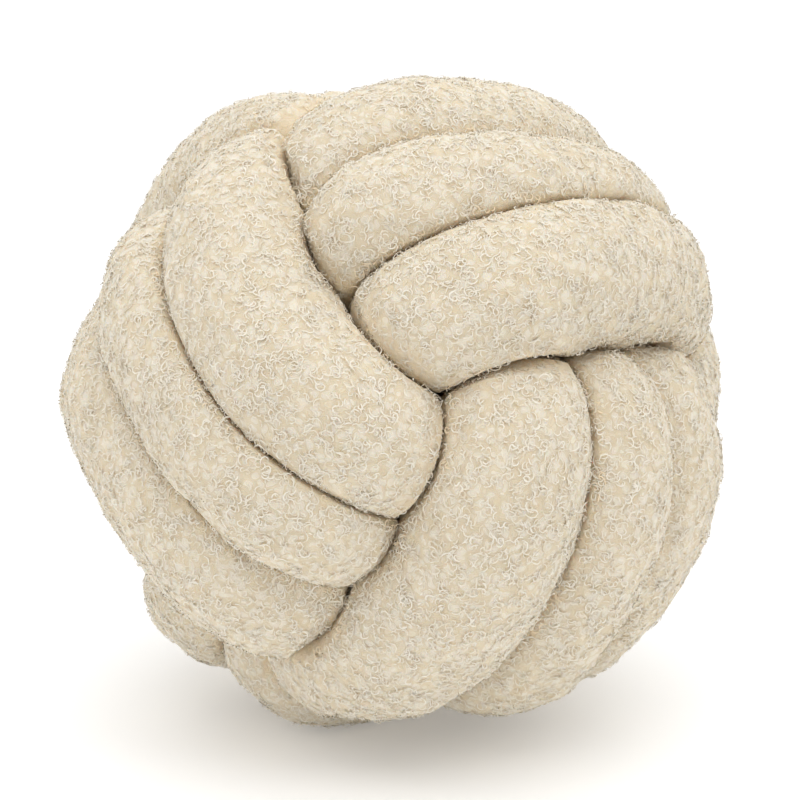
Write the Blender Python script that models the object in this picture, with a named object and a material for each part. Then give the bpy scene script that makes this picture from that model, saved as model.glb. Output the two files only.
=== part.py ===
"""Knot cushion: one long stuffed tube of looped cloth, wound into a ball knot.

The tube runs three times round the ball in each of three bands. Every band
goes over the next band on the outside and dives under it at the corners, as
in a monkey's fist. The two ends of the tube meet in the core, where they are
sewn together, so the tube is one closed ring.

Metres, +Z up. The ball rests on z = 0 with its middle over the origin.
"""

import math

import bpy
import numpy as np

# ---- Driving dimensions ----
BALL_RADIUS = 0.1545  # to the crest of a free strand, before the cloth is pressed
OUTER_TUBE = 0.038  # tube radius in the two outer strands of a band
MIDDLE_TUBE = 0.031  # tube radius in the middle strand, which its neighbours squeeze
CORE_TUBE = 0.030  # tube radius where the tube runs through the core
STRAND_STEP = 0.048  # from one strand of a band to the next, on the outside
CORE_STEP = 0.027  # the same where the strands are pulled together in the core
CORE_DEPTH = 0.050  # how far from the middle of the ball the tube dives under a band
DIVE_HALF = 0.034  # half the straight run of a dive
DIVE_DROP = 0.010  # how far a strand has sunk where it starts to dive
TURN_ANGLE = 38.0  # degrees either side of a face over which a strand stays out
SEAM_GAP = 0.0036  # air left between two touching strands
CORE_GAP = 0.0080  # the same deep in the core, where the cloth creases and crowds
REST_FLAT = 0.007  # how far the weight flattens the underside

# ---- How finely the cloth is drawn ----
STATIONS = 400  # rings along the tube
RING_SIDES = 12  # corners round each ring
FINE_STATIONS = 1450  # points on the tube that its neighbours press against
OWN_REACH = 0.085  # how far along the tube counts as the same place
SOFTNESS = 0.010  # how far a bend in the tube is eased, along the tube

# ---- How the knot lies, degrees ----
TURN_IN_VIEW = -25.0
TURN_ASIDE = 9.2
TIP_BACK = -14.2

# Each band: which way its two faces look, which way it runs, which way it steps.
BANDS = {
    "left": ((1, 0, 0), (0, 1, 0), (0, 0, 1)),
    "right": ((0, 1, 0), (0, 0, 1), (1, 0, 0)),
    "top": ((0, 0, 1), (1, 0, 0), (0, 1, 0)),
}

# Hand winding is uneven. One row for each strand that lies off its even place:
# band, face, strand, then millimetres aside at its start, middle and end,
# millimetres fuller, and degrees more before it dives at its start.
UNEVEN = (
    ("left", 1, 1, 28, -2, -5, 0.5, 5),
    ("left", 1, 0, 27, 11, 4, 0.0, 0),
    ("left", 1, -1, 26, 18, 2, 1.5, 0),
    ("right", 1, 1, 5, -2, -6, 3.5, 8),
    ("right", 1, 0, -9, -3, -4, 0.0, -4),
    ("right", 1, -1, 2, 3, 1, 2.0, 0),
    ("top", 1, 1, -14, -5, -2, 0.5, 10),
    ("top", 1, 0, 10, 13, -6, 0.5, -2),
    ("top", 1, -1, 22, 18, 4, 0.0, 0),
    ("right", -1, 1, 5, -7, 0, 0.0, 14),
    ("top", -1, 0, 10, 4, 0, 2.5, 1),
    ("top", -1, 1, 4, 5, 1, 0.0, -8),
)

# Where the tube crosses the core from the end of one band to the start of the
# next, in the first band's directions: along its face, its run and its step.
CORE_CROSSING = (
    (-0.034, -0.058, 0.030),
    (-0.044, -0.032, 0.005),
    (-0.029, -0.006, -0.007),
    (-0.021, 0.020, -0.010),
    (-0.026, 0.032, -0.042),
    (-0.028, 0.034, -0.060),
)

CREAM = (0.78, 0.70, 0.56)


def clear_scene():
    """Take away whatever the scene holds."""
    for item in list(bpy.data.objects):
        bpy.data.objects.remove(item, do_unlink=True)


def unevenness(band, face, strand):
    """The row of UNEVEN for this strand, or an even one."""
    for row in UNEVEN:
        if row[:3] == (band, face, strand):
            return row[3:]
    return 0, 0, 0, 0, 0


def outside_points(band, face, strand):
    """Points on the middle line of one strand where it lies on the outside.

    They follow a circle about the ball's middle in a plane set aside by the
    strand's step. The row's three offsets bend that plane by a parabola.
    """
    outward, along, aside = np.array(BANDS[band], float)
    start, middle, end, fuller, longer = unevenness(band, face, strand)
    tube = OUTER_TUBE if strand else MIDDLE_TUBE
    tube += 0.001 * fuller
    points = []
    for share in (-1.0, -0.6, -0.25, 0.25, 0.6, 1.0):
        angle = math.radians(share * (TURN_ANGLE + (longer if share < 0 else 0)))
        bend = middle + (end - start) / 2 * share
        bend += ((start + end) / 2 - middle) * share**2
        step = strand * STRAND_STEP + 0.001 * bend
        reach = BALL_RADIUS - tube
        if abs(share) == 1.0:
            step *= 0.86
            reach -= DIVE_DROP
        ring = math.sqrt(reach**2 - step**2)
        place = step * aside
        place = place + ring * math.cos(angle) * face * outward
        place = place + ring * math.sin(angle) * face * along
        points.append((place, tube))
    return points


def dive_points(band, face, strand, next_strand):
    """Points where the tube dives from one face to the other under a band."""
    outward, along, aside = np.array(BANDS[band], float)
    points = []
    for share in (1.0, 0.0, -1.0):
        lane = (strand * (1 + share) + next_strand * (1 - share)) / 2
        place = lane * CORE_STEP * aside
        place = place + face * CORE_DEPTH * along
        place = place + face * share * DIVE_HALF * outward
        points.append((place, CORE_TUBE))
    return points


def band_points(band):
    """The tube's way through one band: three turns, six strands."""
    points = []
    for strand in (-1, 0, 1):
        for face in (1, -1):
            points += outside_points(band, face, strand)
            if (face, strand) != (-1, 1):
                next_strand = strand if face == 1 else strand + 1
                points += dive_points(band, face, strand, next_strand)
    return points


def knot_points():
    """Middle line and tube radius all the way round the knot."""
    points = []
    for band, axes in BANDS.items():
        points += band_points(band)
        axes = np.array(axes, float)
        for step in CORE_CROSSING:
            points.append((np.array(step) @ axes, CORE_TUBE))
    return np.array([p for p, _ in points]), np.array([r for _, r in points])


def through_points(points, radii, pieces=24):
    """A closed Catmull-Rom curve through the points, centripetal so it can't loop."""
    before = np.roll(points, 1, axis=0)
    after = np.roll(points, -1, axis=0)
    beyond = np.roll(points, -2, axis=0)
    first = np.linalg.norm(points - before, axis=1)[:, None] ** 0.5
    second = np.linalg.norm(after - points, axis=1)[:, None] ** 0.5
    third = np.linalg.norm(beyond - after, axis=1)[:, None] ** 0.5
    leave = after - points + second / first * (points - before)
    leave = leave - second / (first + second) * (after - before)
    arrive = after - points + second / third * (beyond - after)
    arrive = arrive - second / (second + third) * (beyond - points)
    u = np.linspace(0, 1, pieces, endpoint=False)[None, :, None]
    curve = (2 * u**3 - 3 * u**2 + 1) * points[:, None]
    curve = curve + (u**3 - 2 * u**2 + u) * leave[:, None]
    curve = curve + (3 * u**2 - 2 * u**3) * after[:, None]
    curve = curve + (u**3 - u**2) * arrive[:, None]
    radius = radii[:, None] * (1 - u[..., 0])
    radius = radius + np.roll(radii, -1)[:, None] * u[..., 0]
    return curve.reshape(-1, 3), radius.reshape(-1)


def evenly(curve, radius, count):
    """The closed curve again with count points at equal steps along it."""
    steps = np.linalg.norm(np.roll(curve, -1, axis=0) - curve, axis=1)
    far = np.concatenate([[0.0], np.cumsum(steps)])
    at = np.arange(count) * far[-1] / count
    closed = np.vstack([curve, curve[:1]])
    places = [np.interp(at, far, closed[:, axis]) for axis in range(3)]
    values = np.interp(at, far, np.append(radius, radius[0]))
    return np.stack(places, axis=1), values, far[-1]


def eased(values, width):
    """The values blurred along the closed curve by a bell of this width, in points."""
    reach = int(4 * width)
    total = np.zeros_like(values)
    weight = 0.0
    for shift in range(-reach, reach + 1):
        share = math.exp(-(shift**2) / (2 * width**2))
        total = total + share * np.roll(values, shift, axis=0)
        weight += share
    return total / weight


def middle_line(count):
    """The tube's middle line with count points, its radii and its length."""
    points, radii = knot_points()
    curve, radius = through_points(points, radii)
    fine = 2900
    curve, radius, length = evenly(curve, radius, fine)
    width = SOFTNESS / (length / fine) / 2
    curve = eased(curve, width)
    radius = eased(radius, width)
    return evenly(curve, radius, count)


def ring_frames(line):
    """Direction of travel and two cross directions that don't spin about it."""
    travel = np.roll(line, -1, axis=0) - np.roll(line, 1, axis=0)
    travel /= np.linalg.norm(travel, axis=1)[:, None]
    cross = np.zeros_like(line)
    held = line[0]
    for at, way in enumerate(travel):
        held = held - way * (held @ way)
        held = held / np.linalg.norm(held)
        cross[at] = held
    back = held - travel[0] * (held @ travel[0])
    third = np.cross(travel[0], cross[0])
    slip = math.atan2(back @ third, back @ cross[0])
    turn = -slip * np.arange(len(line)) / len(line)
    other = np.cross(travel, cross)
    cross = np.cos(turn)[:, None] * cross + np.sin(turn)[:, None] * other
    return cross, np.cross(travel, cross)


def room(line, radius, rays):
    """How far each ray goes before it meets the next strand, pressing evenly.

    Two strands that press on each other share the room between them at the
    plane where both would be equally full. A ray stops at the first such
    plane. A strand's own near neighbourhood doesn't count.
    """
    others, other_radius, length = middle_line(FINE_STATIONS)
    place = np.arange(len(line)) / len(line)
    other_place = np.arange(FINE_STATIONS) / FINE_STATIONS
    free = np.ones(rays.shape[:2])
    for at, middle in enumerate(line):
        along = np.abs(other_place - place[at])
        along = np.minimum(along, 1 - along) * length
        far = others - middle
        square = np.sum(far**2, axis=1)
        near = (along > OWN_REACH) & (square < 0.16**2)
        share = square[near] + radius[at] ** 2 - other_radius[near] ** 2
        facing = rays[at] @ far[near].T
        reach = np.maximum(share, 1e-5) / (2 * np.maximum(facing, 1e-6))
        free[at] = np.min(np.where(facing > 1e-6, reach, 1.0), axis=1)
    depth = np.linalg.norm(line, axis=1)
    buried = np.clip((0.108 - depth) / 0.020, 0, 1)
    gap = SEAM_GAP + (CORE_GAP - SEAM_GAP) * buried
    return free - gap[:, None] / 2


def bend_room(line, rays, length):
    """How far a ray may go on the inside of a bend before the cloth would fold."""
    step = length / len(line)
    bend = np.roll(line, -1, axis=0) - 2 * line + np.roll(line, 1, axis=0)
    tight = np.einsum("nsk,nk->ns", rays, bend / step**2)
    return np.where(tight > 1e-3, 0.62 / np.maximum(tight, 1e-3), 1.0)


def tube_surface(count, sides):
    """Rings of the pressed tube in the knot's own directions."""
    line, radius, length = middle_line(count)
    cross, other = ring_frames(line)
    turn = np.arange(sides) * 2 * math.pi / sides
    rays = np.cos(turn)[None, :, None] * cross[:, None]
    rays = rays + np.sin(turn)[None, :, None] * other[:, None]
    pressed = np.maximum(room(line, radius, rays), 0.003)
    folded = bend_room(line, rays, length)
    # A soft least-of-three: full where there is room, flat where it is pressed.
    power = 7.0
    reach = radius[:, None] ** -power + pressed**-power + folded**-power
    reach = reach ** (-1 / power)
    return line[:, None] + reach[..., None] * rays


def about(axis, degrees):
    """Rotation about one of the three axes."""
    c = math.cos(math.radians(degrees))
    s = math.sin(math.radians(degrees))
    if axis == "x":
        return np.array([[1, 0, 0], [0, c, -s], [0, s, c]])
    if axis == "y":
        return np.array([[c, 0, s], [0, 1, 0], [-s, 0, c]])
    return np.array([[c, -s, 0], [s, c, 0], [0, 0, 1]])


def lying():
    """Turns knot directions into the ones it rests in, a corner to the front."""
    front = np.array([1.0, 1.0, 1.0]) / math.sqrt(3)
    side = np.array([-1.0, 1.0, 0.0]) / math.sqrt(2)
    seen = np.stack([side, np.cross(front, side), front])
    turned = about("z", TURN_IN_VIEW) @ seen
    turned = about("y", TURN_ASIDE) @ turned
    turned = about("x", TIP_BACK) @ turned
    # right, up and toward the front become +X, +Z and -Y
    return np.stack([turned[0], -turned[2], turned[1]])


def set_down(places):
    """Stand the ball on z = 0 over the origin, its underside a little flattened."""
    low = places.min(axis=0)
    high = places.max(axis=0)
    places = places - np.array([(low[0] + high[0]) / 2, (low[1] + high[1]) / 2, low[2]])
    places[:, 2] = np.maximum(places[:, 2] - REST_FLAT, 0.0)
    return places


def ring_faces(count, sides):
    """Four-cornered faces between neighbouring rings, facing out, closed both ways."""
    ring = np.arange(count)[:, None]
    side = np.arange(sides)[None, :]
    next_ring = (ring + 1) % count
    next_side = (side + 1) % sides
    corners = [
        ring * sides + side,
        ring * sides + next_side,
        next_ring * sides + next_side,
        next_ring * sides + side,
    ]
    return np.stack(np.broadcast_arrays(*corners), axis=-1).reshape(-1, 4)


def cloth_material():
    """Matt cream looped cloth."""
    material = bpy.data.materials.new("cream_looped_cloth")
    material.use_nodes = True
    shader = material.node_tree.nodes["Principled BSDF"]
    shader.inputs["Base Color"].default_value = (*CREAM, 1.0)
    shader.inputs["Roughness"].default_value = 0.95
    shader.inputs["Specular IOR Level"].default_value = 0.2
    return material


def build():
    """The whole cushion is one knotted tube."""
    clear_scene()
    rings = tube_surface(STATIONS, RING_SIDES)
    places = set_down(rings.reshape(-1, 3) @ lying().T)
    mesh = bpy.data.meshes.new("knotted_tube")
    faces = ring_faces(STATIONS, RING_SIDES)
    mesh.from_pydata(places.tolist(), [], faces.tolist())
    mesh.update()
    mesh.shade_smooth()
    mesh.materials.append(cloth_material())
    item = bpy.data.objects.new("knotted_tube", mesh)
    bpy.context.scene.collection.objects.link(item)


build()
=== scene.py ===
"""Knot cushion, finished: the stuffed tube, its looped pile, and a plain studio."""

import math

import bpy
import numpy as np
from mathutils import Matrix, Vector


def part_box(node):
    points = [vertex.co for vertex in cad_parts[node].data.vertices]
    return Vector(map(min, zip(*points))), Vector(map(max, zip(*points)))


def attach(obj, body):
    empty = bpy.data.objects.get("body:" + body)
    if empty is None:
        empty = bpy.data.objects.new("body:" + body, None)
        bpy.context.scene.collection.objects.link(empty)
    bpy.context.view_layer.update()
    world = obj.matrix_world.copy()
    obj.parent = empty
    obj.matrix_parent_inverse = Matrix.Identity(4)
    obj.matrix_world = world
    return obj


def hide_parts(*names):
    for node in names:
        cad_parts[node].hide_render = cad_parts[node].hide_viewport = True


bl_info = {
    "name": "Knot Cushion",
    "version": (1, 0, 0),
    "blender": (4, 5, 0),
    "location": "View3D > Sidebar > Knot Cushion",
    "description": "Builds a ball-shaped knot cushion in looped cream cloth",
    "category": "Add Mesh",
}

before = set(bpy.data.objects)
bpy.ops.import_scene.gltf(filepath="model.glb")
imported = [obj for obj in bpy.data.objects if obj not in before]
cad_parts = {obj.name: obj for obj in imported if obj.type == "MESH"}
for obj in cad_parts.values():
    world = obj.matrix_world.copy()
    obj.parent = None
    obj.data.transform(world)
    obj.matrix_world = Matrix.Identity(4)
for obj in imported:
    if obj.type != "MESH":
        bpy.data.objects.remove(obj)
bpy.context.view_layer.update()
NODE = "knotted_tube"
LOW, HIGH = (np.array(corner, float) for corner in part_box(NODE))
BALL_MIDDLE = (LOW + HIGH) / 2

# ---------------------------------------------------------------- the winding

# Each band: which way its two faces look, which way it runs, which way it steps.
BANDS = {
    "left": ((1, 0, 0), (0, 1, 0), (0, 0, 1)),
    "right": ((0, 1, 0), (0, 0, 1), (1, 0, 0)),
    "top": ((0, 0, 1), (1, 0, 0), (0, 1, 0)),
}

# Hand winding is uneven. One row for each strand that lies off its even place:
# band, face, strand, then millimetres aside at its start, middle and end,
# millimetres fuller, and degrees more before it dives at its start.
UNEVEN = (
    ("left", 1, 1, 28, -2, -5, 0.5, 5),
    ("left", 1, 0, 27, 11, 4, 0.0, 0),
    ("left", 1, -1, 26, 18, 2, 1.5, 0),
    ("right", 1, 1, 5, -2, -6, 3.5, 8),
    ("right", 1, 0, -9, -3, -4, 0.0, -4),
    ("right", 1, -1, 2, 3, 1, 2.0, 0),
    ("top", 1, 1, -14, -5, -2, 0.5, 10),
    ("top", 1, 0, 10, 13, -6, 0.5, -2),
    ("top", 1, -1, 22, 18, 4, 0.0, 0),
    ("right", -1, 1, 5, -7, 0, 0.0, 14),
    ("top", -1, 0, 10, 4, 0, 2.5, 1),
    ("top", -1, 1, 4, 5, 1, 0.0, -8),
)

# Where the tube crosses the core from the end of one band to the start of the
# next, in the first band's directions: along its face, its run and its step.
CORE_CROSSING = (
    (-0.034, -0.058, 0.030),
    (-0.044, -0.032, 0.005),
    (-0.029, -0.006, -0.007),
    (-0.021, 0.020, -0.010),
    (-0.026, 0.032, -0.042),
    (-0.028, 0.034, -0.060),
)

CORE_STEP = 0.027  # from one strand to the next where they dive
CORE_DEPTH = 0.050  # how far along its run a strand dives
DIVE_HALF = 0.034  # half the straight part of a dive
DIVE_DROP = 0.010  # how far a strand sinks before it dives
END_STEP = 0.86  # share of the strand step left where a strand dives
TURN_ANGLE = 38.0  # degrees either side of a face's middle before the dive
SEAM_GAP = 0.0004  # between two strands that press on each other outside
CORE_GAP = 0.0060  # the same in the core
CORE_EDGE = 0.108  # the core's gap starts this far from the ball's middle
CORE_FADE = 0.020
SOFTNESS = 0.010  # the middle line is eased over this length
OWN_REACH = 0.085  # a strand doesn't press on itself nearer than this
PRESS_REACH = 0.16  # farther strands can't press
BEND_SHARE = 0.85  # of a bend's radius that the cloth may fill
CURVE_POINTS = 2900
FINE_STATIONS = 1450
TURN_IN_VIEW = -25.0
TURN_ASIDE = 9.2
TIP_BACK = -14.2
CAMERA_RISE = 12.6


class CushionWinding(bpy.types.PropertyGroup):
    """Sizes of the wound tube."""

    ball_radius: bpy.props.FloatProperty(
        name="Ball radius",
        description="To the crest of a free strand, before the cloth is pressed",
        default=0.1545,
        unit="LENGTH",
    )
    outer_tube: bpy.props.FloatProperty(
        name="Outer strand radius",
        description="Tube radius in the two outer strands of a band",
        default=0.038,
        unit="LENGTH",
    )
    middle_tube: bpy.props.FloatProperty(
        name="Middle strand radius",
        description="Tube radius in the strand that its neighbours squeeze",
        default=0.031,
        unit="LENGTH",
    )
    core_tube: bpy.props.FloatProperty(
        name="Core radius",
        description="Tube radius where it runs through the core",
        default=0.030,
        unit="LENGTH",
    )
    strand_step: bpy.props.FloatProperty(
        name="Strand step",
        description="From one strand of a band to the next, on the outside",
        default=0.048,
        unit="LENGTH",
    )
    rest_flat: bpy.props.FloatProperty(
        name="Flattened underside",
        description="How far the cushion's weight flattens its underside",
        default=0.007,
        unit="LENGTH",
    )
    pile_depth: bpy.props.FloatProperty(
        name="Pile depth",
        description="From the backing cloth to the tips of its loops",
        default=0.0018,
        unit="LENGTH",
    )
    lumpiness: bpy.props.FloatProperty(
        name="Lumpiness",
        description="How far the loose filling pushes the cloth in and out",
        default=0.0009,
        unit="LENGTH",
    )
    stations: bpy.props.IntProperty(
        name="Rings along the tube",
        description="How many rings the finished tube is drawn with",
        default=1100,
    )
    sides: bpy.props.IntProperty(
        name="Corners in a ring",
        description="How many corners each ring has",
        default=52,
    )


class CushionPile(bpy.types.PropertyGroup):
    """The looped yarn on the cloth."""

    locks: bpy.props.IntProperty(
        name="Locks",
        description="How many locks of yarn stand on the cloth",
        default=86000,
    )
    curl_radius: bpy.props.FloatProperty(
        name="Curl radius",
        description="Radius of the ring that a lock curls into",
        default=0.0014,
        unit="LENGTH",
    )
    curl_height: bpy.props.FloatProperty(
        name="Curl height",
        description="How high a lock arches over the cloth",
        default=0.0004,
        unit="LENGTH",
    )
    clump_height: bpy.props.FloatProperty(
        name="Clump height",
        description="How far clumps of locks stand above the hollows between them",
        default=0.0004,
        unit="LENGTH",
    )
    yarn_width: bpy.props.FloatProperty(
        name="Yarn width",
        description="Width of one lock of yarn",
        default=0.0005,
        unit="LENGTH",
    )
    roundness: bpy.props.FloatProperty(
        name="Yarn roundness",
        description="How far the shading turns over from edge to edge of a lock",
        default=0.22,
    )
    seed: bpy.props.IntProperty(
        name="Seed",
        description="Starts the scatter, so that each build is the same",
        default=7,
    )


class CushionColours(bpy.types.PropertyGroup):
    """Colours of the cloth and its yarn. Some stand in for light: painted shade in the
    hollows and creases, and a painted highlight on the clumps.
    """

    backing: bpy.props.FloatVectorProperty(
        name="Backing cloth",
        description="Cloth seen between the loops",
        subtype="COLOR",
        size=3,
        default=(0.755, 0.69, 0.57),
    )
    # Painted shade: the colour of the low ground between the curls.
    backing_painted_shade: bpy.props.FloatVectorProperty(
        name="Backing shade",
        description="Darker patches of the backing cloth",
        subtype="COLOR",
        size=3,
        default=(0.68, 0.585, 0.43),
    )
    # A paler tone at random, and also a painted highlight on the tops of the clumps.
    highlight: bpy.props.FloatVectorProperty(
        name="Palest yarn",
        description="Yarn at the tips of the pile",
        subtype="COLOR",
        size=3,
        default=(0.80, 0.755, 0.66),
    )
    cream: bpy.props.FloatVectorProperty(
        name="Cream yarn",
        description="Most of the yarn",
        subtype="COLOR",
        size=3,
        default=(0.76, 0.705, 0.595),
    )
    # Painted crease shade: a warmer colour for cloth and yarn down in the creases.
    deep: bpy.props.FloatVectorProperty(
        name="Crease yarn",
        description="Cloth and yarn down in the creases",
        subtype="COLOR",
        size=3,
        default=(0.82, 0.69, 0.50),
    )
    # A warmer tone at random, and also painted shade in the hollows between clumps and
    # near creases.
    warm_tone_and_shade: bpy.props.FloatVectorProperty(
        name="Warm yarn",
        description="Yarn lower in the pile",
        subtype="COLOR",
        size=3,
        default=(0.73, 0.655, 0.52),
    )


class CushionStudio(bpy.types.PropertyGroup):
    """The floor, the lights and the camera."""

    floor_colour: bpy.props.FloatVectorProperty(
        name="Floor",
        description="Plain pale floor and backdrop",
        subtype="COLOR",
        size=3,
        default=(0.93, 0.93, 0.93),
    )
    room_light: bpy.props.FloatProperty(
        name="Room light",
        description="Even light from all round",
        default=0.88,
    )
    key_power: bpy.props.FloatProperty(
        name="Key light",
        description="Power of the large soft lamp above and in front",
        default=24.0,
        unit="POWER",
    )
    lens: bpy.props.FloatProperty(
        name="Lens",
        description="Focal length of the camera",
        default=100.0,
        unit="CAMERA",
    )
    distance: bpy.props.FloatProperty(
        name="Camera distance",
        description="From the camera to the middle of the ball",
        default=1.011,
        unit="LENGTH",
    )


def unevenness(band, face, strand):
    """The row of UNEVEN for this strand, or an even one."""
    for row in UNEVEN:
        if row[:3] == (band, face, strand):
            return row[3:]
    return 0, 0, 0, 0, 0


def outside_points(winding, band, face, strand):
    """Points on the middle line of one strand where it lies on the outside.

    A circle about the ball's middle, in a plane set aside by the strand's step.
    The row's three offsets bend that plane by a parabola.
    """
    outward, along, aside = np.array(BANDS[band], float)
    start, middle, end, fuller, longer = unevenness(band, face, strand)
    tube = winding.outer_tube if strand else winding.middle_tube
    tube += 0.001 * fuller
    points = []
    for share in (-1.0, -0.6, -0.25, 0.25, 0.6, 1.0):
        angle = math.radians(share * (TURN_ANGLE + (longer if share < 0 else 0)))
        bend = middle + (end - start) / 2 * share
        bend += ((start + end) / 2 - middle) * share**2
        step = strand * winding.strand_step + 0.001 * bend
        reach = winding.ball_radius - tube
        if abs(share) == 1.0:
            step *= END_STEP
            reach -= DIVE_DROP
        ring = math.sqrt(reach**2 - step**2)
        place = step * aside
        place = place + ring * math.cos(angle) * face * outward
        place = place + ring * math.sin(angle) * face * along
        points.append((place, tube))
    return points


def dive_points(winding, band, face, strand, next_strand):
    """Points where the tube dives from one face to the other under a band."""
    outward, along, aside = np.array(BANDS[band], float)
    points = []
    for share in (1.0, 0.0, -1.0):
        lane = (strand * (1 + share) + next_strand * (1 - share)) / 2
        place = lane * CORE_STEP * aside
        place = place + face * CORE_DEPTH * along
        place = place + face * share * DIVE_HALF * outward
        points.append((place, winding.core_tube))
    return points


def knot_points(winding):
    """Middle line and tube radius all the way round: three bands of three turns."""
    points = []
    for band, axes in BANDS.items():
        for strand in (-1, 0, 1):
            for face in (1, -1):
                points += outside_points(winding, band, face, strand)
                if (face, strand) != (-1, 1):
                    next_strand = strand if face == 1 else strand + 1
                    points += dive_points(winding, band, face, strand, next_strand)
        axes = np.array(axes, float)
        for step in CORE_CROSSING:
            points.append((np.array(step) @ axes, winding.core_tube))
    return np.array([p for p, _ in points]), np.array([r for _, r in points])


def through_points(points, radii, pieces=24):
    """A closed Catmull-Rom curve through the points, centripetal so it can't loop."""
    before = np.roll(points, 1, axis=0)
    after = np.roll(points, -1, axis=0)
    beyond = np.roll(points, -2, axis=0)
    first = np.linalg.norm(points - before, axis=1)[:, None] ** 0.5
    second = np.linalg.norm(after - points, axis=1)[:, None] ** 0.5
    third = np.linalg.norm(beyond - after, axis=1)[:, None] ** 0.5
    leave = after - points + second / first * (points - before)
    leave = leave - second / (first + second) * (after - before)
    arrive = after - points + second / third * (beyond - after)
    arrive = arrive - second / (second + third) * (beyond - points)
    u = np.linspace(0, 1, pieces, endpoint=False)[None, :, None]
    curve = (2 * u**3 - 3 * u**2 + 1) * points[:, None]
    curve = curve + (u**3 - 2 * u**2 + u) * leave[:, None]
    curve = curve + (3 * u**2 - 2 * u**3) * after[:, None]
    curve = curve + (u**3 - u**2) * arrive[:, None]
    radius = radii[:, None] * (1 - u[..., 0])
    radius = radius + np.roll(radii, -1)[:, None] * u[..., 0]
    return curve.reshape(-1, 3), radius.reshape(-1)


def evenly(curve, radius, count):
    """The closed curve again with count points at equal steps along it."""
    steps = np.linalg.norm(np.roll(curve, -1, axis=0) - curve, axis=1)
    far = np.concatenate([[0.0], np.cumsum(steps)])
    at = np.arange(count) * far[-1] / count
    closed = np.vstack([curve, curve[:1]])
    places = [np.interp(at, far, closed[:, axis]) for axis in range(3)]
    values = np.interp(at, far, np.append(radius, radius[0]))
    return np.stack(places, axis=1), values, far[-1]


def eased(values, width):
    """The values blurred along the closed curve by a bell of this width, in points."""
    reach = int(4 * width)
    total = np.zeros_like(values)
    weight = 0.0
    for shift in range(-reach, reach + 1):
        share = math.exp(-(shift**2) / (2 * width**2))
        total = total + share * np.roll(values, shift, axis=0)
        weight += share
    return total / weight


def middle_line(winding, count):
    """The tube's middle line with count points, its radii and its length."""
    points, radii = knot_points(winding)
    curve, radius = through_points(points, radii)
    curve, radius, length = evenly(curve, radius, CURVE_POINTS)
    width = SOFTNESS / (length / CURVE_POINTS) / 2
    curve = eased(curve, width)
    radius = eased(radius, width)
    return evenly(curve, radius, count)


def ring_frames(line):
    """Direction of travel and two cross directions that don't spin about it."""
    travel = np.roll(line, -1, axis=0) - np.roll(line, 1, axis=0)
    travel /= np.linalg.norm(travel, axis=1)[:, None]
    cross = np.zeros_like(line)
    held = line[0]
    for at, way in enumerate(travel):
        held = held - way * (held @ way)
        held = held / np.linalg.norm(held)
        cross[at] = held
    back = held - travel[0] * (held @ travel[0])
    third = np.cross(travel[0], cross[0])
    slip = math.atan2(back @ third, back @ cross[0])
    turn = -slip * np.arange(len(line)) / len(line)
    other = np.cross(travel, cross)
    cross = np.cos(turn)[:, None] * cross + np.sin(turn)[:, None] * other
    return cross, np.cross(travel, cross)


def room(winding, line, radius, rays):
    """How far each ray goes before it meets the next strand, pressing evenly.

    Two strands that press on each other share the room between them at the
    plane where both would be equally full. A ray stops at the first such
    plane. A strand's own near neighbourhood doesn't count.
    """
    others, other_radius, length = middle_line(winding, FINE_STATIONS)
    place = np.arange(len(line)) / len(line)
    other_place = np.arange(FINE_STATIONS) / FINE_STATIONS
    free = np.ones(rays.shape[:2])
    for at, middle in enumerate(line):
        along = np.abs(other_place - place[at])
        along = np.minimum(along, 1 - along) * length
        far = others - middle
        square = np.sum(far**2, axis=1)
        near = (along > OWN_REACH) & (square < PRESS_REACH**2)
        share = square[near] + radius[at] ** 2 - other_radius[near] ** 2
        facing = rays[at] @ far[near].T
        reach = np.maximum(share, 1e-5) / (2 * np.maximum(facing, 1e-6))
        free[at] = np.min(np.where(facing > 1e-6, reach, 1.0), axis=1)
    depth = np.linalg.norm(line, axis=1)
    buried = np.clip((CORE_EDGE - depth) / CORE_FADE, 0, 1)
    gap = SEAM_GAP + (CORE_GAP - SEAM_GAP) * buried
    return free - gap[:, None] / 2


def bend_room(line, rays, length):
    """How far a ray may go on the inside of a bend before the cloth would fold."""
    step = length / len(line)
    bend = np.roll(line, -1, axis=0) - 2 * line + np.roll(line, 1, axis=0)
    tight = np.einsum("nsk,nk->ns", rays, bend / step**2)
    return np.where(tight > 1e-3, BEND_SHARE / np.maximum(tight, 1e-3), 1.0)


def lumps(places, size, seed, waves=14):
    """Smooth uneven values near -1 to 1: a sum of plane waves in random directions."""
    draw = np.random.default_rng(seed)
    ways = draw.normal(size=(waves, 3))
    ways /= np.linalg.norm(ways, axis=1)[:, None]
    lengths = size * draw.uniform(0.7, 1.5, waves)
    phases = draw.uniform(0, 2 * math.pi, waves)
    swing = places @ (ways / lengths[:, None]).T * 2 * math.pi + phases
    return np.sin(swing).sum(axis=-1) * math.sqrt(2 / waves) / 1.6


def about(axis, degrees):
    """Rotation about one of the three axes."""
    c = math.cos(math.radians(degrees))
    s = math.sin(math.radians(degrees))
    if axis == "x":
        return np.array([[1, 0, 0], [0, c, -s], [0, s, c]])
    if axis == "y":
        return np.array([[c, 0, s], [0, 1, 0], [-s, 0, c]])
    return np.array([[c, -s, 0], [s, c, 0], [0, 0, 1]])


def lying():
    """Turns knot directions into the ones it rests in, a corner to the front."""
    front = np.array([1.0, 1.0, 1.0]) / math.sqrt(3)
    side = np.array([-1.0, 1.0, 0.0]) / math.sqrt(2)
    seen = np.stack([side, np.cross(front, side), front])
    turned = about("z", TURN_IN_VIEW) @ seen
    turned = about("y", TURN_ASIDE) @ turned
    turned = about("x", TIP_BACK) @ turned
    return np.stack([turned[0], -turned[2], turned[1]])


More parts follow.
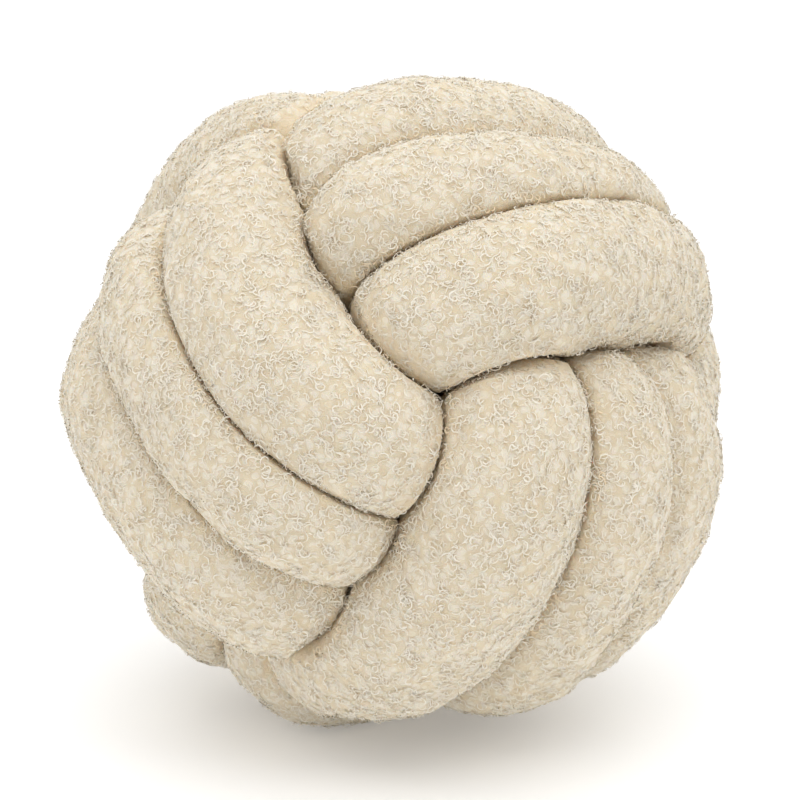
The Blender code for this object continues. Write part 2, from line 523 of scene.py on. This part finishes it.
def unit(vectors):
    """The vectors, each at length one."""
    return vectors / np.maximum(np.linalg.norm(vectors, axis=-1), 1e-9)[..., None]


def rising(values, start, width):
    """Nothing up to start, then rising evenly to one over the width."""
    return np.clip((values - start) / width, 0, 1)


HARDNESS = 13.0  # higher presses two strands together along a sharper crease
LEAST_REACH = 0.003  # the tube never gets thinner than this on one side
CREASE_WIDTH = 0.007  # spare room over which a crease fades out
OPEN_ROOM = 0.005  # spare room that lets the cloth swell freely
LARGE_LUMPS = 0.030
SMALL_LUMPS = 0.013
COVERED_AT = 0.90  # share of another strand's radius inside which cloth is covered
OVER_CLOTH = 0.002
FLOOR_ROUNDING = 0.0015


class Tube:
    """The pressed tube: its surface on a grid, and how open each point lies."""

    def __init__(self, winding):
        """Rings about the middle line, each ray stopped by its neighbours.

        A ray's reach is a soft least of the free radius, the room to the next
        strand and the room inside a bend. The backing cloth lies a pile's
        depth inside that.
        """
        line, radius, length = middle_line(winding, winding.stations)
        cross, other = ring_frames(line)
        turn = np.arange(winding.sides) * 2 * math.pi / winding.sides
        rays = np.cos(turn)[None, :, None] * cross[:, None]
        rays = rays + np.sin(turn)[None, :, None] * other[:, None]
        pressed = np.maximum(room(winding, line, radius, rays), LEAST_REACH)
        folded = bend_room(line, rays, length)
        reach = radius[:, None] ** -HARDNESS + pressed**-HARDNESS + folded**-HARDNESS
        reach = reach ** (-1 / HARDNESS)
        self.spare = pressed - reach
        self.crease = np.clip(1 - self.spare / CREASE_WIDTH, 0, 1) ** 1.5
        skin = line[:, None] + reach[..., None] * rays
        swell = lumps(skin, LARGE_LUMPS, 3) + 0.5 * lumps(skin, SMALL_LUMPS, 5)
        open_share = rising(self.spare, 0.0, OPEN_ROOM)
        inset = winding.pile_depth - winding.lumpiness * swell
        reach = np.maximum(reach - inset * open_share, 0.002)
        skin = line[:, None] + reach[..., None] * rays
        self.shown = self.seen_from_outside(line, radius, skin)
        skin = skin @ lying().T
        self.skin = self.set_down(skin, winding)
        self.measure()

    def seen_from_outside(self, line, radius, skin):
        """One where the cloth is open, falling to nothing where it is buried.

        A point a little over the cloth is buried if it is pressed and lies well
        inside the round form of another strand, or deep in the ball.
        """
        centre, size = line[::4], radius[::4]
        count = len(line)
        far_on = np.abs(np.arange(count)[:, None] - np.arange(0, count, 4)[None, :])
        own = np.minimum(far_on, count - far_on) < count // 40
        along = np.roll(skin, -1, axis=0) - skin
        outward = unit(np.cross(np.roll(skin, -1, axis=1) - skin, along))
        over = skin + OVER_CLOTH * outward
        shown = rising(np.linalg.norm(skin, axis=2), 0.080, 0.010)
        for ring in range(count):
            apart = np.sum(over[ring] ** 2, axis=1)[:, None] + np.sum(centre**2, axis=1)
            apart = apart - 2 * over[ring] @ centre.T
            share = np.sqrt(np.maximum(apart, 0)) / size + 9.0 * own[ring]
            clear = rising(share.min(axis=1), COVERED_AT, 0.05)
            free = rising(self.spare[ring], 0.0002, 0.0012)
            shown[ring] *= np.maximum(clear, free)
        return shown

    def set_down(self, skin, winding):
        """Put the ball's middle over the origin and flatten its underside.

        The lowest millimetres close up smoothly on the floor: a height h
        becomes the soft greater of nothing and h less the flattening.
        """
        low, high = skin.min(axis=(0, 1)), skin.max(axis=(0, 1))
        middle = (low + high) / 2
        skin = skin - np.array([middle[0], middle[1], low[2] - winding.pile_depth])
        skin[..., :2] += BALL_MIDDLE[:2]
        height = skin[..., 2] - winding.rest_flat
        floor = winding.pile_depth * 0.6
        lifted = np.sqrt((height - floor) ** 2 + 4 * FLOOR_ROUNDING**2)
        skin[..., 2] = floor + (height - floor + lifted) / 2
        return skin

    def measure(self):
        """Steps to the next ring and side, outward normals and cell areas."""
        self.along = np.roll(self.skin, -1, axis=0) - self.skin
        self.around = np.roll(self.skin, -1, axis=1) - self.skin
        normal = np.cross(self.around, self.along)
        self.area = np.linalg.norm(normal, axis=2)
        self.normal = normal / np.maximum(self.area, 1e-12)[..., None]


TUBES = {}


def pressed_tube(winding):
    """The tube, worked out once for each set of sizes."""
    key = tuple(getattr(winding, name) for name in winding.__annotations__)
    if key not in TUBES:
        TUBES[key] = Tube(winding)
    return TUBES[key]


# ------------------------------------------------------------------ making


def new_piece(name, places, faces, materials):
    """A mesh object from arrays, smooth shaded, at the origin."""
    mesh = bpy.data.meshes.new(name)
    corners = faces.shape[1]
    mesh.vertices.add(len(places))
    mesh.vertices.foreach_set("co", places.astype(np.float32).ravel())
    mesh.loops.add(faces.size)
    mesh.loops.foreach_set("vertex_index", faces.astype(np.int32).ravel())
    mesh.polygons.add(len(faces))
    starts = np.arange(len(faces), dtype=np.int32) * corners
    mesh.polygons.foreach_set("loop_start", starts)
    mesh.update(calc_edges=True)
    mesh.shade_smooth()
    for material in materials:
        mesh.materials.append(material)
    piece = bpy.data.objects.new(name, mesh)
    bpy.context.scene.collection.objects.link(piece)
    return piece


def ring_faces(count, sides):
    """Faces between neighbouring rings, facing out, closed both ways."""
    ring = np.arange(count)[:, None]
    side = np.arange(sides)[None, :]
    next_ring = (ring + 1) % count
    next_side = (side + 1) % sides
    corners = [
        ring * sides + side,
        ring * sides + next_side,
        next_ring * sides + next_side,
        next_ring * sides + side,
    ]
    return np.stack(np.broadcast_arrays(*corners), axis=-1).reshape(-1, 4)


def plain_yarn(name, colour):
    """Matt yarn of one colour."""
    material = bpy.data.materials.new(name)
    material.use_nodes = True
    shader = material.node_tree.nodes["Principled BSDF"]
    shader.inputs["Base Color"].default_value = (*colour, 1.0)
    shader.inputs["Roughness"].default_value = 0.75
    shader.inputs["Specular IOR Level"].default_value = 0.1
    return material


def backing_cloth(colours):
    """Cloth between the loops: small warped cells filled with ringed fibres.

    Each cell is one curl: it stands highest at its middle, and rings about the
    middle are its fibres. The colour follows the height, so the low ground between
    the cells is darker: painted shade. Down in the creases the colour turns warmer:
    painted crease shade.
    """
    material = bpy.data.materials.new("backing_cloth")
    material.use_nodes = True
    nodes = material.node_tree.nodes
    links = material.node_tree.links

    def math_node(operation, first, second):
        """A maths node; each input is a socket to link or a plain number."""
        node = nodes.new("ShaderNodeMath")
        node.operation = operation
        for at, value in enumerate((first, second)):
            if isinstance(value, float):
                node.inputs[at].default_value = value
            else:
                links.new(value, node.inputs[at])
        return node.outputs["Value"]

    shader = nodes["Principled BSDF"]
    shader.inputs["Roughness"].default_value = 0.9
    shader.inputs["Specular IOR Level"].default_value = 0.15
    shader.inputs["Subsurface Weight"].default_value = 0.6
    shader.inputs["Subsurface Radius"].default_value = (1.0, 0.75, 0.5)
    shader.inputs["Subsurface Scale"].default_value = 0.008
    where = nodes.new("ShaderNodeTexCoord")
    sway = nodes.new("ShaderNodeTexNoise")
    sway.inputs["Scale"].default_value = 190.0
    sway.inputs["Detail"].default_value = 1.0
    warp = nodes.new("ShaderNodeVectorMath")
    warp.operation = "MULTIPLY_ADD"
    warp.inputs[1].default_value = (0.006, 0.006, 0.006)
    cells = nodes.new("ShaderNodeTexVoronoi")
    cells.inputs["Scale"].default_value = 260.0
    links.new(where.outputs["Object"], sway.inputs["Vector"])
    links.new(sway.outputs["Color"], warp.inputs[0])
    links.new(where.outputs["Object"], warp.inputs[2])
    links.new(warp.outputs["Vector"], cells.inputs["Vector"])
    dome = math_node("MULTIPLY", cells.outputs["Distance"], -1.0)
    rings = math_node("SINE", math_node("MULTIPLY", cells.outputs["Distance"], 34.0), 0.0)
    height = math_node("ADD", dome, math_node("MULTIPLY", rings, 0.10))
    # Painted shade: the ramp darkens the colour where the height is low, between the
    # cells.
    ramp = nodes.new("ShaderNodeValToRGB")
    ramp.color_ramp.elements[0].position = 0.40
    ramp.color_ramp.elements[1].position = 0.66
    ramp.color_ramp.elements[0].color = (*colours.backing_painted_shade, 1.0)
    ramp.color_ramp.elements[1].color = (*colours.backing, 1.0)
    # Painted crease shade: where the crease attribute is high, the colour turns to the
    # crease colour.
    crease = nodes.new("ShaderNodeAttribute")
    crease.attribute_name = "crease"
    # A Mix node's colour sockets go by number: 0 the share, 6 and 7 in, 2 out.
    crease_shade_mix = nodes.new("ShaderNodeMix")
    crease_shade_mix.data_type = "RGBA"
    crease_shade_mix.inputs[7].default_value = (*colours.deep, 1.0)
    bump = nodes.new("ShaderNodeBump")
    bump.inputs["Strength"].default_value = 0.55
    bump.inputs["Distance"].default_value = 0.0016
    links.new(math_node("ADD", height, 1.0), ramp.inputs["Fac"])
    links.new(crease.outputs["Fac"], crease_shade_mix.inputs[0])
    links.new(ramp.outputs["Color"], crease_shade_mix.inputs[6])
    links.new(crease_shade_mix.outputs[2], shader.inputs["Base Color"])
    links.new(height, bump.inputs["Height"])
    links.new(bump.outputs["Normal"], shader.inputs["Normal"])
    return material


# -------------------------------------------------------------------- the pile

SECTIONS = 6  # points along one lock
MORE_IN_CREASES = 0.8  # this share more locks down in a crease
UNDERSIDE = 0.0022  # cloth below this height rests on the floor
FEWER_BELOW = 0.25  # share of the locks left there
PILE_CREASE = 0.004  # spare room over which a crease fades out for the pile
CLUMP_SIZE = 0.006
CLUMP_SEED = 11
CLUMP_STEP = 0.0008  # over which a clump's slope is taken
FOOT_DEPTH = 0.0003  # a lock's two ends are this far down in the cloth
CREASE_LIFT = 0.0004  # how far a crease lifts its locks
CREASE_LEAN = 1.2  # how far the shading of a crease's locks turns outwards


class Roots:
    """Where the locks stand and how the cloth lies there."""

    def __init__(self, tube, pile, draw):
        """Cells drawn by their area, where the cloth is open.

        A place, its normal and two level directions are read between the
        cell's corners.
        """
        weight = tube.area * tube.shown * (1 + MORE_IN_CREASES * tube.crease)
        weight *= np.where(tube.skin[..., 2] < UNDERSIDE, FEWER_BELOW, 1.0)
        total = np.cumsum(weight.ravel())
        cell = np.searchsorted(total, draw.uniform(0, total[-1], pile.locks))
        cell = np.minimum(cell, weight.size - 1)
        ring, side = np.divmod(cell, weight.shape[1])
        far, near = draw.uniform(0, 1, (2, pile.locks, 1))
        place = tube.skin[ring, side] + far * tube.along[ring, side]
        self.place = place + near * tube.around[ring, side]
        self.normal = tube.normal[ring, side]
        along = tube.along[ring, side]
        slip = np.sum(along * self.normal, axis=1)[:, None]
        self.along = unit(along - self.normal * slip)
        self.across = np.cross(self.normal, self.along)
        self.crease = np.clip(1 - tube.spare[ring, side] / PILE_CREASE, 0, 1)
        self.clump = np.clip(self.clumps(), -1.5, 1.5)
        self.lean = self.clump_lean(pile.clump_height)

    def clumps(self, aside=0.0):
        """Smooth field of clumps and hollows at the roots, moved aside by a step."""
        return lumps(self.place + aside, CLUMP_SIZE, CLUMP_SEED)

    def clump_lean(self, height):
        """How far each normal leans down its clump's slope."""
        here = self.clumps()
        rise_along = self.clumps(CLUMP_STEP * self.along) - here
        rise_across = self.clumps(CLUMP_STEP * self.across) - here
        slope = rise_along[:, None] * self.along + rise_across[:, None] * self.across
        return -height / CLUMP_STEP * slope


def lock_strips(pile, roots, draw):
    """Every lock as a curled flat strip, and the strip's normals.

    A strip's middle line lies over the cloth and keeps turning to one side, so
    it closes most of a small ring; the turning speeds up towards one end. Its
    height is an arch with both ends tucked into the cloth, tipped to one side.
    The normals mostly follow the cloth and its clumps, and lean out at a
    strip's two edges as on a round yarn, so the pile shades as softly as wool.
    """
    shape = (len(roots.place), 1)
    turn = np.radians(draw.uniform(90, 270, shape)) * draw.choice([-1.0, 1.0], shape)
    radius = pile.curl_radius * draw.uniform(0.55, 1.6, shape)
    tighten = draw.uniform(-1.5, 1.5, shape)
    heading = draw.uniform(0, 2 * math.pi, shape)
    tip = draw.normal(0, 0.15, shape)
    tip_way = draw.uniform(0, 2 * math.pi, shape)
    lift = draw.uniform(-0.0001, 0.0003, shape)
    lift = lift + roots.clump[:, None] * pile.clump_height
    lift = lift + roots.crease[:, None] * CREASE_LIFT
    arch = pile.curl_height * draw.uniform(0.5, 1.3, shape)
    share = np.linspace(0, 1, SECTIONS)[None, :]
    loose = draw.normal(0, 1, shape)
    angle = heading + turn * (share + tighten * share * (share - 1)) + 0.15 * loose
    size = radius * np.abs(turn) / (SECTIONS - 1)
    ahead = np.cumsum(np.cos(angle) * size, axis=1)
    beside = np.cumsum(np.sin(angle) * size, axis=1)
    ahead -= ahead.mean(axis=1, keepdims=True)
    beside -= beside.mean(axis=1, keepdims=True)
    height = lift + arch * np.sin(math.pi * share) ** 0.7 + 0.0001 * loose
    height = height + tip * (np.cos(tip_way) * ahead + np.sin(tip_way) * beside)
    height = np.where((share == 0) | (share == 1), -FOOT_DEPTH, height)
    normal = roots.normal[:, None]
    line = roots.place[:, None] + ahead[..., None] * roots.along[:, None]
    line = line + beside[..., None] * roots.across[:, None]
    line = line + height[..., None] * normal
    going = unit(np.gradient(line, axis=1))
    flat = unit(np.cross(np.broadcast_to(normal, going.shape), going))
    third = np.cross(going, flat)
    roll = draw.normal(0, 0.22, shape)[..., None]
    edge = np.cos(roll) * flat + np.sin(roll) * third
    width = pile.yarn_width * (0.4 + 0.6 * np.sin(math.pi * share) ** 0.5)
    half = edge * (width / 2)[..., None]
    facing = normal + roots.lean[:, None] + 0.35 * np.cross(going, edge)
    round_over = pile.roundness * edge
    normals = np.stack([facing - round_over, facing + round_over], axis=2)
    outward = unit(roots.place - BALL_MIDDLE) * roots.crease[:, None]
    normals = normals + CREASE_LEAN * outward[:, None, None]
    return np.stack([line - half, line + half], axis=2), unit(normals)


def strip_faces(strips):
    """One four-cornered face for each step of each strip, facing out."""
    start = np.arange(strips)[:, None] * SECTIONS * 2
    step = np.arange(SECTIONS - 1)[None, :] * 2
    first = start + step
    return np.stack([first, first + 2, first + 3, first + 1], axis=-1).reshape(-1, 4)


def sorted_by_tone(roots, draw, count):
    """Which colour each lock has: the first, painted crease shade, down in a crease;
    the rest partly at random.

    The draw leans on the clumps and the creases, so that a clump is paler than its
    hollows: a painted highlight on the clumps and painted shade in the hollows and
    near the creases.
    """
    locks = len(roots.clump)
    # Painted highlight and shade with a random part: clump tops get paler yarn, hollows
    # and creases warmer yarn.
    tone = 0.8 * roots.clump + draw.normal(0, 0.7, locks) - roots.crease
    edges = np.quantile(tone, np.linspace(0, 1, count)[1:-1])
    # Painted crease shade: locks down in a crease take the crease colour.
    deep = roots.crease > draw.uniform(0.60, 1.2, locks)
    return np.where(deep, 0, 1 + np.searchsorted(edges, tone))


# -------------------------------------------------------------------- operators


class CUSHION_OT_tube(bpy.types.Operator):
    """Make the stuffed tube, knotted into a ball"""

    bl_idname = "cushion.tube"
    bl_label = "Stuffed Tube"

    def execute(self, context):
        """The grid of rings as one closed piece."""
        scene = context.scene
        tube = pressed_tube(scene.cushion_winding)
        rings, sides = tube.skin.shape[:2]
        cloth = backing_cloth(scene.cushion_colours)
        faces = ring_faces(rings, sides)
        piece = new_piece("stuffed_tube", tube.skin.reshape(-1, 3), faces, [cloth])
        # The crease share, read by the cloth's material for its painted crease shade.
        crease = piece.data.attributes.new("crease", "FLOAT", "POINT")
        crease.data.foreach_set("value", tube.crease.astype(np.float32).ravel())
        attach(piece, "root")
        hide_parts(NODE)
        return {"FINISHED"}


class CUSHION_OT_pile(bpy.types.Operator):
    """Make the looped pile that covers the cloth"""

    bl_idname = "cushion.pile"
    bl_label = "Looped Pile"

    def execute(self, context):
        """Locks of curly yarn, one piece for each tone so each stays light."""
        scene = context.scene
        pile = scene.cushion_pile
        colours = scene.cushion_colours
        tube = pressed_tube(scene.cushion_winding)
        draw = np.random.default_rng(pile.seed)
        roots = Roots(tube, pile, draw)
        strips, normals = lock_strips(pile, roots, draw)
        # The crease colour is painted crease shade; warm and palest are a random tone and
        # also painted shade in hollows and a painted highlight on clumps.
        tones = (
            ("pile_crease_shade", colours.deep),
            ("pile_warm", colours.warm_tone_and_shade),
            ("pile_cream_low", colours.cream),
            ("pile_cream", colours.cream),
            ("pile_cream_high", colours.cream),
            ("pile_palest", colours.highlight),
        )
        group = sorted_by_tone(roots, draw, len(tones))
        for at, (name, colour) in enumerate(tones):
            chosen = strips[group == at]
            faces = strip_faces(len(chosen))
            yarn = plain_yarn(name + "_yarn", colour)
            piece = new_piece(name, chosen.reshape(-1, 3), faces, [yarn])
            soft = normals[group == at].reshape(-1, 3)
            piece.data.normals_split_custom_set_from_vertices(soft.tolist())
            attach(piece, "root")
        return {"FINISHED"}


def lamp(name, place, size, power):
    """A square soft lamp that looks at the middle of the ball."""
    data = bpy.data.lights.new(name, "AREA")
    data.energy = power
    data.size = size
    item = bpy.data.objects.new(name, data)
    item.location = place
    aim(item)
    bpy.context.scene.collection.objects.link(item)


def aim(item):
    """Turn a lamp or camera towards the middle of the ball."""
    way = Vector(BALL_MIDDLE) - item.location
    item.rotation_euler = way.to_track_quat("-Z", "Y").to_euler()


def sweep(colour):
    """Floor and backdrop in one: a profile that runs back, bends up and rises."""
    front, back, top, radius, half_width = -4.0, 2.2, 5.0, 1.2, 5.0
    bend = np.linspace(0, math.pi / 2, 17)
    run = np.concatenate([[front], back + radius * np.sin(bend), [back + radius]])
    rise = np.concatenate([[0.0], radius * (1 - np.cos(bend)), [top]])
    side = np.array([-half_width, half_width])
    grid = np.zeros((len(run), 2, 3))
    grid[..., 0] = side[None, :]
    grid[..., 1] = run[:, None]
    grid[..., 2] = rise[:, None]
    first = np.arange(len(run) - 1) * 2
    faces = np.stack([first, first + 1, first + 3, first + 2], axis=-1)
    material = bpy.data.materials.new("pale_floor")
    material.use_nodes = True
    shader = material.node_tree.nodes["Principled BSDF"]
    shader.inputs["Base Color"].default_value = (*colour, 1.0)
    shader.inputs["Roughness"].default_value = 1.0
    shader.inputs["Specular IOR Level"].default_value = 0.0
    shader.inputs["Emission Color"].default_value = (1.0, 1.0, 1.0, 1.0)
    shader.inputs["Emission Strength"].default_value = 0.14
    return new_piece("floor", grid.reshape(-1, 3), faces, [material])


class CUSHION_OT_studio(bpy.types.Operator):
    """Make the floor, the lights and the camera"""

    bl_idname = "cushion.studio"
    bl_label = "Studio"

    def execute(self, context):
        """A pale sweep, even room light, one large key lamp and a long lens."""
        scene = context.scene
        studio = scene.cushion_studio
        sweep(studio.floor_colour)
        world = bpy.data.worlds.new("room")
        world.use_nodes = True
        sky = world.node_tree.nodes["Background"]
        sky.inputs["Color"].default_value = (1.0, 1.0, 1.0, 1.0)
        sky.inputs["Strength"].default_value = studio.room_light
        scene.world = world
        lamp("key", place=(0.1, -0.6, 2.1), size=2.2, power=studio.key_power)
        camera = bpy.data.cameras.new("camera")
        camera.lens = studio.lens
        camera.sensor_width = 36.0
        item = bpy.data.objects.new("camera", camera)
        rise = math.radians(CAMERA_RISE)
        back = np.array([0.0, -math.cos(rise), math.sin(rise)])
        item.location = BALL_MIDDLE + back * studio.distance
        aim(item)
        scene.collection.objects.link(item)
        scene.camera = item
        scene.view_settings.view_transform = "Standard"
        return {"FINISHED"}


class CUSHION_PT_panel(bpy.types.Panel):
    """Lists the steps in the order they are made"""

    bl_idname = "CUSHION_PT_panel"
    bl_label = "Knot Cushion"
    bl_space_type = "VIEW_3D"
    bl_region_type = "UI"
    bl_category = "Knot Cushion"

    def draw(self, context):
        """Sizes first, then one button for each step."""
        for group in ("winding", "pile", "colours", "studio"):
            settings = getattr(context.scene, "cushion_" + group)
            box = self.layout.box()
            box.label(text=group.capitalize())
            for name in settings.__annotations__:
                box.prop(settings, name)
        for step in (CUSHION_OT_tube, CUSHION_OT_pile, CUSHION_OT_studio):
            self.layout.operator(step.bl_idname)


GROUPS = {
    "cushion_winding": CushionWinding,
    "cushion_pile": CushionPile,
    "cushion_colours": CushionColours,
    "cushion_studio": CushionStudio,
}
CLASSES = (CUSHION_OT_tube, CUSHION_OT_pile, CUSHION_OT_studio, CUSHION_PT_panel)


def register():
    """Add the settings, the operators and the panel."""
    for name, group in GROUPS.items():
        bpy.utils.register_class(group)
        setattr(bpy.types.Scene, name, bpy.props.PointerProperty(type=group))
    for item in CLASSES:
        bpy.utils.register_class(item)


def unregister():
    """Take them away again."""
    for item in reversed(CLASSES):
        bpy.utils.unregister_class(item)
    for name, group in GROUPS.items():
        delattr(bpy.types.Scene, name)
        bpy.utils.unregister_class(group)


def main():
    """Build everything."""
    register()
    bpy.ops.cushion.tube()
    bpy.ops.cushion.pile()
    bpy.ops.cushion.studio()


if __name__ == "__main__":
    main()
